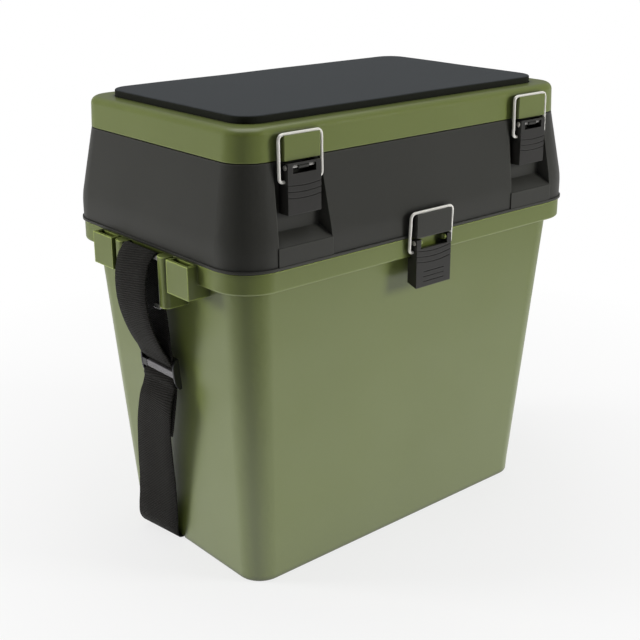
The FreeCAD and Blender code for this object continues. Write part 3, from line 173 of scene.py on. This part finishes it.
def moulded(name, colour, shade, roughness, gloss, edge, grain, mottle, wear_and_highlight=0.35):
    """Moulded plastic: slight tone changes along the flow of the mould, a fine grain, soft edges with a painted
    highlight and painted shade in the creases."""
    made, tree, shader = new_material(name)
    coords = object_coords(tree)
    clouds = noise_at(tree, coords, 7.0, 2.0, MOULD_FLOW)
    specks = noise_at(tree, coords, 420.0, 2.0)
    tone = ramp(tree, maths(tree, "ADD", clouds, maths(tree, "MULTIPLY", specks, 0.3)), 0.35, 0.95, 0.0, mottle)
    haze = noise_at(tree, coords, 22.0, 3.0)
    tree.links.new(ramp(tree, haze, 0.3, 0.7, roughness - 0.03, roughness + 0.04), shader.inputs["Roughness"])
    shader.inputs["Specular IOR Level"].default_value = gloss
    bumped(tree, shader, noise_at(tree, coords, 1100.0, 2.0), grain, 0.35, edge)
    # Painted shade: the colour darkens where ambient occlusion finds surfaces close by, in creases, seams and
    # beside other parts.
    crease = add(tree, "ShaderNodeAmbientOcclusion", samples=6, Distance=CREASE_REACH)
    open_air = ramp(tree, crease.outputs["AO"], 0.5, 0.97, 0.0, 1.0)
    # Painted highlight: convex edges in the open are lightened towards several times the colour.
    edges = edges_within(tree, HIGHLIGHT_WIDTH * edge)
    painted_edge_highlight = maths(tree, "MULTIPLY", maths(tree, "MULTIPLY", edges, open_air), wear_and_highlight)
    plain = blend_colours(tree, painted_edge_highlight, blend_colours(tree, tone, colour, shade), scaled(colour, PAINTED_HIGHLIGHT_LIGHT))
    painted_shade_and_highlight = blend_colours(tree, open_air, scaled(colour, PAINTED_CREASE_SHADE), plain)
    tree.links.new(painted_shade_and_highlight, shader.inputs["Base Color"])
    return made


GREEN_PLASTIC = {"colour": linear(109, 120, 58), "shade": linear(97, 108, 47), "roughness": 0.33, "gloss": 1.0,
                 "edge": 0.0009, "grain": 0.00006, "mottle": 0.55}

# Both greens take painted highlights on their edges, the tub's many times stronger than the lid's.
green = moulded("moulded_green", **GREEN_PLASTIC, wear_and_highlight=0.08)
tub_green = moulded("moulded_green_tub", **GREEN_PLASTIC, wear_and_highlight=0.9)
black = moulded("moulded_black", linear(52, 52, 48), linear(59, 59, 55),
                roughness=0.38, gloss=0.45, edge=0.0009, grain=0.00007, mottle=0.8)
lever_black = moulded("lever_black", linear(49, 48, 46), linear(56, 55, 53),
                      roughness=0.42, gloss=0.4, edge=0.0005, grain=0.00005, mottle=0.7)
tray_black = moulded("tray_black", linear(40, 40, 39), linear(48, 48, 46),
                     roughness=0.45, gloss=0.4, edge=0.0006, grain=0.00005, mottle=0.6)
glide_black = moulded("adjuster_black", linear(22, 22, 24), linear(30, 30, 32),
                      roughness=0.28, gloss=0.5, edge=0.0004, grain=0.00002, mottle=0.5)
glide_grey = moulded("adjuster_grey", linear(122, 120, 122), linear(104, 102, 104),
                     roughness=0.42, gloss=0.4, edge=0.0004, grain=0.00004, mottle=0.6)


# Metal, foam and webbing

def steel(name, colour, roughness, scratch, metallic):
    """Drawn steel: patches of dulled polish and fine scratches."""
    made, tree, shader = new_material(name)
    coords = object_coords(tree)
    shader.inputs["Metallic"].default_value = metallic
    patches = noise_at(tree, coords, 90.0, 3.0)
    tone = ramp(tree, patches, 0.35, 0.7, 0.0, 0.2)
    tree.links.new(blend_colours(tree, tone, colour, scaled(colour, 0.8)), shader.inputs["Base Color"])
    tree.links.new(ramp(tree, patches, 0.3, 0.7, roughness, roughness + 0.08), shader.inputs["Roughness"])
    bumped(tree, shader, noise_at(tree, coords, 700.0, 2.0), scratch, 0.3)
    return made


# Painted reflection: the wire is near-white and mostly diffuse, standing in for the bright studio that polished
# steel would mirror; it is only partly metallic.
wire_painted_bright = steel("polished_wire_painted_reflection", linear(255, 253, 245), roughness=0.1, scratch=0.00002, metallic=0.2)
plain_steel = steel("pin_steel", linear(205, 203, 198), roughness=0.24, scratch=0.00003, metallic=0.8)


def foam_skin(name, top, side):
    """Closed-cell foam: fine pores, a dusty sheen on top and darker cut sides."""
    made, tree, shader = new_material(name)
    coords = object_coords(tree)
    facing = tree.nodes.new("ShaderNodeSeparateXYZ")
    tree.links.new(surface_normal(tree), facing.inputs[0])
    up = ramp(tree, facing.outputs[2], 0.35, 0.95, 0.0, 1.0)
    pores = noise_at(tree, coords, 950.0, 3.0)
    cells = add(tree, "ShaderNodeTexVoronoi", Scale=620.0)
    tree.links.new(coords, cells.inputs["Vector"])
    skin = blend_colours(tree, ramp(tree, pores, 0.3, 0.72, 0.0, 0.8), top, scaled(top, 0.72))
    tree.links.new(blend_colours(tree, up, side, skin), shader.inputs["Base Color"])
    shader.inputs["Roughness"].default_value = 0.9
    shader.inputs["Specular IOR Level"].default_value = 0.15
    shader.inputs["Sheen Weight"].default_value = 0.03
    shader.inputs["Sheen Roughness"].default_value = 0.5
    height = maths(tree, "ADD", maths(tree, "MULTIPLY", pores, 0.6), maths(tree, "MULTIPLY", cells.outputs[0], 0.5))
    bumped(tree, shader, height, 0.00025, 0.55)
    return made


pad_foam = foam_skin("foam_skin", linear(63, 67, 70), linear(36, 37, 32))


def webbing_weave(name, colour, pitch):
    """Woven webbing: slanting cross ribs, one to each pitch, with a twill of yarns between them, laid out
    by the strap's own length and width."""
    made, tree, shader = new_material(name)
    flat = tree.nodes.new("ShaderNodeSeparateXYZ")
    tree.links.new(tree.nodes.new("ShaderNodeUVMap").outputs[0], flat.inputs[0])
    across, along = flat.outputs[0], flat.outputs[1]
    turn = 2 * math.pi / pitch
    slant = maths(tree, "ADD", maths(tree, "MULTIPLY", along, turn), maths(tree, "MULTIPLY", across, turn * 0.16))
    ribs = maths(tree, "SINE", slant)
    yarns = maths(tree, "SINE", maths(tree, "ADD", maths(tree, "MULTIPLY", across, turn * 1.35),
                                    maths(tree, "MULTIPLY", along, turn * 0.5)))
    coords = object_coords(tree)
    fuzz = noise_at(tree, coords, 1500.0, 3.0)
    wear_and_highlight = noise_at(tree, coords, 26.0, 3.0)
    height = maths(tree, "ADD", maths(tree, "ADD", ribs, maths(tree, "MULTIPLY", yarns, 0.45)),
                   maths(tree, "MULTIPLY", fuzz, 0.8))
    # Painted light and shade: the crests of the ribs and yarns are coloured lighter and the grooves between them
    # darker; the wear clouds vary the tone at random.
    tone = ramp(tree, maths(tree, "ADD", height, maths(tree, "MULTIPLY", wear_and_highlight, 1.2)), -0.9, 2.4, 0.0, 1.0)
    tree.links.new(blend_colours(tree, tone, scaled(colour, 0.4), scaled(colour, 2.6)), shader.inputs["Base Color"])
    shader.inputs["Roughness"].default_value = 0.8
    shader.inputs["Specular IOR Level"].default_value = 0.15
    shader.inputs["Sheen Weight"].default_value = 0.04
    shader.inputs["Sheen Roughness"].default_value = 0.45
    bumped(tree, shader, height, 0.0003, 0.8)
    return made


webbing = webbing_weave("woven_webbing", linear(27, 26, 24), pitch=0.0019)


# Smooth shading of the curved CAD faces, with their sharp edges kept

WELD = 0.000002
SHARP_ANGLE = math.radians(32)


def smoothing_group(angle):
    group = bpy.data.node_groups.new("smooth_by_angle", "GeometryNodeTree")
    group.interface.new_socket("Geometry", in_out="INPUT", socket_type="NodeSocketGeometry")
    group.interface.new_socket("Geometry", in_out="OUTPUT", socket_type="NodeSocketGeometry")
    start = group.nodes.new("NodeGroupInput")
    end = group.nodes.new("NodeGroupOutput")
    weld = group.nodes.new("GeometryNodeMergeByDistance")
    weld.inputs["Distance"].default_value = WELD
    faces = group.nodes.new("GeometryNodeSetShadeSmooth")
    faces.domain = "FACE"
    edges = group.nodes.new("GeometryNodeSetShadeSmooth")
    edges.domain = "EDGE"
    edges.inputs["Shade Smooth"].default_value = False
    bent = group.nodes.new("GeometryNodeInputMeshEdgeAngle")
    sharp = group.nodes.new("FunctionNodeCompare")
    sharp.operation = "GREATER_THAN"
    sharp.inputs[1].default_value = angle
    links = group.links
    links.new(start.outputs[0], weld.inputs[0])
    links.new(weld.outputs[0], faces.inputs[0])
    links.new(faces.outputs[0], edges.inputs[0])
    links.new(bent.outputs[0], sharp.inputs[0])
    links.new(sharp.outputs[0], edges.inputs["Selection"])
    links.new(edges.outputs[0], end.inputs[0])
    return group


smoothing = smoothing_group(SHARP_ANGLE)


def dress(node, material):
    """A CAD node with its own material and smooth curved faces."""
    item = nodes[node]
    item.data.materials.clear()
    item.data.materials.append(material)
    modifier = item.modifiers.new("smooth", "NODES")
    modifier.node_group = smoothing
    item.modifiers.new("normals", "WEIGHTED_NORMAL").keep_sharp = True


for node, material in (
    ("tub", tub_green), ("lid", green), ("tray_box", black), ("tub_latch_lever", lever_black),
    ("tub_latch_bail", wire_painted_bright), ("tub_latch_pins", plain_steel),
):
    dress(node, material)
for side, _ in SIDES:
    dress(f"lift_tray_{side}", tray_black)
    dress(f"lid_latch_lever_{side}", lever_black)
    dress(f"lid_latch_bail_{side}", wire_painted_bright)
    dress(f"lid_latch_pin_{side}", plain_steel)
    dress(f"lid_hinge_pin_{side}", plain_steel)
    dress(f"tray_box_hinge_pin_{side}", plain_steel)
    dress(f"strap_bar_{side}", plain_steel)


# Pieces made here

def add_piece(name, mesh, material, body, stands_for=None):
    """A visible piece on one body, in place of the CAD node that it stands for."""
    item = bpy.data.objects.new(name, mesh)
    bpy.context.scene.collection.objects.link(item)
    mesh.materials.append(material)
    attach(item, body)
    if stands_for:
        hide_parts(stands_for)
    return item


def mesh_from(name, points, faces, smooth=True):
    mesh = bpy.data.meshes.new(name)
    mesh.from_pydata(points, [], faces)
    mesh.validate()
    mesh.update()
    for face in mesh.polygons:
        face.use_smooth = smooth
    return mesh


# Seat pad: a foam slab with soft edges that lies in the lid's bed

PAD_CORNER = 0.018
CORNER_STEPS = 8
LONG_STEPS, SHORT_STEPS = 40, 23


def ring(half_x, half_y, corner):
    """Points round a rectangle with rounded corners, the same number at any size."""
    places = []
    for quarter, (sign_x, sign_y) in enumerate(((1, 1), (-1, 1), (-1, -1), (1, -1))):
        centre = Vector((sign_x * (half_x - corner), sign_y * (half_y - corner)))
        for t in range(CORNER_STEPS + 1):
            angle = (quarter + t / CORNER_STEPS) * math.pi / 2
            places.append(centre + corner * Vector((math.cos(angle), math.sin(angle))))
        if quarter % 2 == 0:
            after, steps = Vector((-sign_x * (half_x - corner), sign_y * half_y)), LONG_STEPS
        else:
            after, steps = Vector((sign_x * half_x, -sign_y * (half_y - corner))), SHORT_STEPS
        start = places[-1]
        places += [start.lerp(after, s / steps) for s in range(1, steps)]
    return places


def make_pad():
    """Rings from the foot up over the edge and in across the top, each with its inset and its height.
    The top dips and swells a little, and the sides pull in by fractions of a millimetre."""
    low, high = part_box("seat_pad")
    half_x, half_y = (high.x - low.x) / 2, (high.y - low.y) / 2
    height = high.z - low.z
    profile = [(0.0012, 0.0), (0.0, 0.0008), (0.0, 0.45 * height), (0.0, 0.8 * height),
               (0.0001, 0.9 * height), (0.0005, 0.97 * height), (0.0012, height)]
    profile += [(inset, height) for inset in (0.0025, 0.007, 0.015, 0.03, 0.055, 0.08)]
    points = []
    rings = []
    for inset, rise in profile:
        loop = ring(half_x - inset, half_y - inset, max(PAD_CORNER - inset, 0.003))
        rings.append(range(len(points), len(points) + len(loop)))
        for place in loop:
            wave = noise.noise(Vector((place.x * 14, place.y * 14, 3.1)))
            edge = noise.noise(Vector((place.x * 40, place.y * 40, 8.7)))
            lift = (-0.00035 + 0.00035 * wave) * (rise / height) ** 2 if rise > 0 else 0.0
            pull = 1 - 0.0008 * (0.5 + 0.5 * edge)
            points.append((place.x * pull, place.y * pull, low.z + rise + lift))
    count = len(rings[0])
    faces = []
    for first, second in zip(rings, rings[1:]):
        for k in range(count):
            faces.append((first[k], first[(k + 1) % count], second[(k + 1) % count], second[k]))
    faces.append(tuple(rings[-1]))
    faces.append(tuple(reversed(rings[0])))
    return points, faces


pad = add_piece("seat_pad_foam", mesh_from("seat_pad_foam", *make_pad()), pad_foam, "lid", "seat_pad")


# Carry strap: one length of webbing through both adjusters and under the tub

WIDTH = 0.044
THICK = 0.0016

# The adjusters: their place on the slack strap, how they lean, their rails and bar, and from one layer of
# the strap in them to the next
GLIDE_X, GLIDE_Z = 0.1832, 0.1743
GLIDE_LEAN = 0.1
RAIL_HALF = 0.0015
BAR_OUT, BAR_HALF = 0.0032, 0.00125
SLIDE_GAP = 0.0004
LAYER = THICK + 0.0003

# How far out the strap's middle runs over the rails and behind the bar, and how far above and below the
# adjuster's middle it turns
OVER_RAIL = RAIL_HALF + SLIDE_GAP + THICK / 2
BEHIND_BAR = BAR_OUT - BAR_HALF - SLIDE_GAP - THICK / 2
PAST_RAIL, AT_RAIL, AT_BAR = 0.014, 0.00907, 0.0037

# The wire in the posts, over which the strap turns
WIRE_X, WIRE_Z = 0.1974, 0.2756
WIRE_TURN = 0.0018 + 0.00035 + THICK / 2

# Under the base, where it lies farther back
UNDER = 0.0003 + THICK / 2
SHIFT = 0.0345

STEPS_ALONG = 6
SOFT_EDGE = 0.0005
WAVY_EDGE = 0.00025


def by_glide(out, up):
    """A place beside the adjuster, which leans outwards at its top."""
    return (GLIDE_X + out + GLIDE_LEAN * up, GLIDE_Z + up, 0, 0)


def strap_side():
    """Out from the middle, height, shift of the middle towards the back, and how far the rear edge
    lies out beyond the front edge, from the free tail to the middle of the base."""
    tail = [
        (0.1866, 0.122, 0.007, 0.0024), (0.1864, 0.134, 0.0035, 0.0012), (0.1858, 0.146, 0.001, 0.0003),
        by_glide(OVER_RAIL, -PAST_RAIL), by_glide(OVER_RAIL, -AT_RAIL),
        by_glide(BEHIND_BAR - LAYER, -AT_BAR), by_glide(BEHIND_BAR - LAYER, AT_BAR),
        by_glide(OVER_RAIL, AT_RAIL), by_glide(OVER_RAIL, PAST_RAIL),
        (0.1881, GLIDE_Z + 0.022, 0, 0), (0.1898, GLIDE_Z + 0.044, 0, 0),
        (WIRE_X - WIRE_TURN - 0.002, GLIDE_Z + 0.066, 0, 0), (WIRE_X - WIRE_TURN - 0.0003, WIRE_Z - 0.018, 0, 0),
    ]
    over = [(WIRE_X - WIRE_TURN * math.cos(math.radians(a)), WIRE_Z + WIRE_TURN * math.sin(math.radians(a)), 0, 0)
            for a in range(0, 151, 30)]
    fall = [
        (0.2048, 0.2705, 0, 0), (0.2082, 0.258, 0, 0), (0.2089, 0.245, 0, 0), (0.2074, 0.23, 0, 0),
        (0.2034, 0.215, 0, 0), (0.1972, 0.2, 0, 0), (0.1916, GLIDE_Z + 0.0155, 0, 0),
        by_glide(OVER_RAIL + LAYER, AT_RAIL), by_glide(BEHIND_BAR, AT_BAR),
        by_glide(BEHIND_BAR, -AT_BAR), by_glide(OVER_RAIL + LAYER, -AT_RAIL),
        by_glide(OVER_RAIL + LAYER + 0.0003, -PAST_RAIL), (0.1902, 0.146, 0.001, 0),
        (0.1888, 0.122, 0.008, 0.0025), (0.1861, 0.1, 0.013, 0.005), (0.1834, 0.08, 0.017, 0.007),
        (0.1803, 0.06, 0.021, 0.0085), (0.178, 0.04, 0.025, 0.0105), (0.1766, 0.024, SHIFT - 0.006, 0.012),
        (0.1746, 0.012, SHIFT - 0.0025, 0.01), (0.1696, UNDER + 0.0026, SHIFT - 0.0005, 0.005),
        (0.1605, UNDER, SHIFT, 0), (0.14, UNDER, SHIFT, 0),
    ]
    return tail + over + fall


def smooth_through(points, steps):
    """A smooth curve through the points, with that many steps between two of them."""
    result = []
    last = len(points) - 1
    for index in range(last):
        a, b = points[max(index - 1, 0)], points[index]
        c, e = points[index + 1], points[min(index + 2, last)]
        for step in range(steps):
            t = step / steps
            result.append(tuple(
                0.5 * (2 * q + (r - p) * t + (2 * p - 5 * q + 4 * r - s) * t * t + (3 * q - p - 3 * r + s) * t ** 3)
                for p, q, r, s in zip(a, b, c, e)))
    result.append(points[-1])
    return result


def make_strap():
    """The strap's section swept along its route, with its length and width as texture coordinates."""
    side = smooth_through(strap_side(), STEPS_ALONG)
    stations = side + [(-x, z, y, -twist) for x, z, y, twist in reversed(side)]
    places = [Vector((x, y, z)) for x, z, y, _ in stations]
    half, thin, soft = WIDTH / 2, THICK / 2, SOFT_EDGE
    outline = [(-half + soft, -thin), (-half * 0.5, -thin), (0, -thin), (half * 0.5, -thin), (half - soft, -thin),
               (half, -thin + soft), (half, thin - soft), (half - soft, thin), (half * 0.5, thin), (0, thin),
               (-half * 0.5, thin), (-half + soft, thin), (-half, thin - soft), (-half, -thin + soft)]
    count = len(outline)
    points = []
    lengths = [0.0]
    for index, place in enumerate(places):
        before, after = places[max(index - 1, 0)], places[min(index + 1, len(places) - 1)]
        along = (after - before).normalized()
        across = Vector((stations[index][3] / WIDTH, 1, 0))
        across = (across - along * across.dot(along)).normalized()
        normal = along.cross(across).normalized()
        if index:
            lengths.append(lengths[-1] + (place - places[index - 1]).length)
        for u, w in outline:
            wave = noise.noise(Vector((lengths[-1] * 60, 1.0 if u > 0 else 5.0, 2.0)))
            edge = WAVY_EDGE * wave * (abs(u) / half) ** 4
            points.append(place + across * (u + edge) + normal * w)
    faces = []
    for index in range(len(places) - 1):
        for k in range(count):
            a, b = index * count + k, index * count + (k + 1) % count
            faces.append((a, b, b + count, a + count))
    faces.append(tuple(reversed(range(count))))
    end = (len(places) - 1) * count
    faces.append(tuple(range(end, end + count)))
    mesh = mesh_from("carry_strap_webbing", points, faces)
    layer = mesh.uv_layers.new(name="UVMap")
    for loop in mesh.loops:
        layer.data[loop.index].uv = (outline[loop.vertex_index % count][0], lengths[loop.vertex_index // count])
    return mesh


add_piece("carry_strap_webbing", make_strap(), webbing, "tub", "carry_strap")


# Strap adjusters: a dark frame with bowed cheeks and a ridged grey bar between them

def bevelled(item, width, segments):
    modifier = item.modifiers.new("bevel", "BEVEL")
    modifier.width = width
    modifier.segments = segments
    modifier.limit_method = "ANGLE"


def extrude(bm, outline, low_y, high_y):
    """A prism along Y from an outline in X and Z."""
    count = len(outline)
    ends = [[bm.verts.new((x, y, z)) for x, z in outline] for y in (low_y, high_y)]
    for k in range(count):
        n = (k + 1) % count
        bm.faces.new((ends[0][k], ends[0][n], ends[1][n], ends[1][k]))
    bm.faces.new(ends[0])
    bm.faces.new(reversed(ends[1]))


def leaning_mesh(name, bm, sign):
    """The mesh set on its side of the box, leaning outwards at its top."""
    bmesh.ops.recalc_face_normals(bm, faces=bm.faces)
    mesh = bpy.data.meshes.new(name)
    bm.to_mesh(mesh)
    bm.free()
    lean = math.atan(GLIDE_LEAN)
    for vertex in mesh.vertices:
        x, y, z = vertex.co
        out = GLIDE_X + x * math.cos(lean) + z * math.sin(lean)
        up = GLIDE_Z - x * math.sin(lean) + z * math.cos(lean)
        vertex.co = (sign * out, y, up)
    if sign < 0:
        mesh.flip_normals()
    return mesh


def with_upper_half(lower):
    """A closed outline from its lower half."""
    return lower + [(x, -z) for x, z in reversed(lower)]


CHEEK_SIDE = with_upper_half([(-RAIL_HALF, -0.0135), (RAIL_HALF, -0.0135), (0.0036, -0.01), (0.0046, -0.0065),
                              (0.0049, -0.002)])
RAIL_SIDE = [(-RAIL_HALF, -0.0135), (RAIL_HALF, -0.0135), (RAIL_HALF, -0.01), (-RAIL_HALF, -0.01)]
BOSS_SIDE = with_upper_half([(0.0014, -0.0034), (0.0047, -0.0034)])
BAR_SIDE = with_upper_half([(0.00195, -0.003), (0.00405, -0.003), (0.0044, -0.0024), (0.0044, -0.0012),
                            (0.0041, -0.0009), (0.0044, -0.0006)])
CHEEK_IN, CHEEK_OUT = 0.0223, 0.0244
BAR_END = 0.0226
BOSS_START = 0.0158

for side, sign in SIDES:
    bm = bmesh.new()
    for end in (-1, 1):
        low_y, high_y = sorted((end * CHEEK_IN, end * CHEEK_OUT))
        extrude(bm, CHEEK_SIDE, low_y, high_y)
        extrude(bm, [(x, end * z) for x, z in RAIL_SIDE], -BAR_END, BAR_END)
    extrude(bm, BOSS_SIDE, BOSS_START, BAR_END)
    frame_piece = add_piece(f"adjuster_frame_{side}", leaning_mesh(f"adjuster_frame_{side}", bm, sign),
                            glide_black, "tub", f"strap_adjuster_{side}")
    bevelled(frame_piece, 0.0004, 3)
    bm = bmesh.new()
    extrude(bm, BAR_SIDE, -BAR_END, BAR_END)
    bar_piece = add_piece(f"adjuster_bar_{side}", leaning_mesh(f"adjuster_bar_{side}", bm, sign),
                          glide_grey, "tub", None)
    bevelled(bar_piece, 0.00015, 2)


# Stage, light and camera

CAMERA_SIDE = (-0.66, -0.75, 0.0)
FLOOR_HALF = 15


def make_floor():
    """Pale near the object, where it takes the shadow, and plain white in the picture farther away. In
    reflections it glows, less so far out and towards the camera."""
    corners = [(x * FLOOR_HALF, y * FLOOR_HALF, 0) for x, y in ((-1, -1), (1, -1), (1, 1), (-1, 1))]
    mesh = mesh_from("floor", corners, [(0, 1, 2, 3)], False)
    made, tree, shader = new_material("pale_floor")
    coords = object_coords(tree)
    shader.inputs["Base Color"].default_value = (0.86, 0.86, 0.86, 1)
    shader.inputs["Roughness"].default_value = 0.9
    shader.inputs["Specular IOR Level"].default_value = 0.1
    length = add(tree, "ShaderNodeVectorMath", operation="LENGTH")
    tree.links.new(coords, length.inputs[0])
    distance = length.outputs["Value"]
    far = ramp(tree, distance, 0.22, 0.7, 0.75, 1.0)
    rays = tree.nodes.new("ShaderNodeLightPath")
    mirrored = maths(tree, "MAXIMUM", rays.outputs["Is Glossy Ray"], rays.outputs["Is Transmission Ray"])
    seen = maths(tree, "MAXIMUM", mirrored, maths(tree, "MULTIPLY", far, rays.outputs["Is Camera Ray"]))
    to_camera = dot_product(tree, coords, CAMERA_SIDE)
    fade = maths(tree, "MAXIMUM", ramp(tree, distance, 0.45, 1.05, 0.0, 0.55),
                 ramp(tree, to_camera, 0.25, 0.6, 0.0, 0.9))
    glow = add(tree, "ShaderNodeEmission")
    tree.links.new(maths(tree, "SUBTRACT", 1.0, maths(tree, "MULTIPLY", mirrored, fade)), glow.inputs["Strength"])
    mix = tree.nodes.new("ShaderNodeMixShader")
    output = next(n for n in tree.nodes if n.type == "OUTPUT_MATERIAL")
    for index, source in enumerate((seen, shader.outputs[0], glow.outputs[0])):
        tree.links.new(source, mix.inputs[index])
    tree.links.new(mix.outputs[0], output.inputs[0])
    mesh.materials.append(made)
    item = bpy.data.objects.new("floor", mesh)
    bpy.context.scene.collection.objects.link(item)


def make_world():
    """White to the camera, and a soft light that is dim on the camera's side."""
    world = bpy.data.worlds.new("studio")
    bpy.context.scene.world = world
    world.use_nodes = True
    tree = world.node_tree
    tree.nodes.clear()
    soft = add(tree, "ShaderNodeBackground")
    white = add(tree, "ShaderNodeBackground", Strength=1.0)
    for node in (soft, white):
        node.inputs["Color"].default_value = (1, 1, 1, 1)
    direction = tree.nodes.new("ShaderNodeTexCoord").outputs["Generated"]
    around = ramp(tree, dot_product(tree, direction, CAMERA_SIDE), 0.0, 0.7, 0.27, 0.03)
    tree.links.new(around, soft.inputs["Strength"])
    mix = tree.nodes.new("ShaderNodeMixShader")
    output = tree.nodes.new("ShaderNodeOutputWorld")
    seen = tree.nodes.new("ShaderNodeLightPath").outputs["Is Camera Ray"]
    for index, source in enumerate((seen, soft.outputs[0], white.outputs[0])):
        tree.links.new(source, mix.inputs[index])
    tree.links.new(mix.outputs[0], output.inputs[0])


LAMP_TARGET = Vector((0, 0, 0.2))


def add_lamp(name, place, size, watts, mirrored=False):
    """A square soft lamp that shines on the object, and shows in reflections only if mirrored."""
    lamp = bpy.data.lights.new(name, "AREA")
    lamp.shape = "RECTANGLE"
    lamp.size = lamp.size_y = size
    lamp.energy = watts
    item = bpy.data.objects.new(name, lamp)
    item.location = place
    item.rotation_euler = (LAMP_TARGET - Vector(place)).to_track_quat("-Z", "Y").to_euler()
    item.visible_glossy = mirrored
    bpy.context.scene.collection.objects.link(item)


make_floor()
make_world()
add_lamp("top_soft", (0.1, 0.2, 2.4), size=2.2, watts=22, mirrored=True)
add_lamp("left_soft", (-2.05, 1.75, 0.9), size=0.8, watts=51)
add_lamp("right_soft", (1.65, -2.15, 0.9), size=0.8, watts=48)

# The photo's camera: its distance, direction and aim, and in pixels its focal length and optical centre
DISTANCE = 1.0552
AZIMUTH, ELEVATION = math.radians(-41.24), math.radians(18.87)
AIM = Vector((0, 0, 0.195))
PICTURE = 640
FOCAL_PIXELS = 1151.41
CENTRE_X, CENTRE_Y = 329.71, 294.75
SENSOR = 36


def make_camera():
    back = Vector((math.sin(AZIMUTH) * math.cos(ELEVATION), -math.cos(AZIMUTH) * math.cos(ELEVATION),
                   math.sin(ELEVATION)))
    data = bpy.data.cameras.new("camera")
    data.sensor_width = SENSOR
    data.lens = SENSOR * FOCAL_PIXELS / PICTURE
    data.shift_x = -(CENTRE_X - PICTURE / 2) / PICTURE
    data.shift_y = (CENTRE_Y - PICTURE / 2) / PICTURE
    item = bpy.data.objects.new("camera", data)
    item.location = AIM + back * DISTANCE
    item.rotation_euler = (-back).to_track_quat("-Z", "Y").to_euler()
    bpy.context.scene.collection.objects.link(item)
    bpy.context.scene.camera = item


make_camera()
bpy.context.scene.view_settings.view_transform = "Standard"
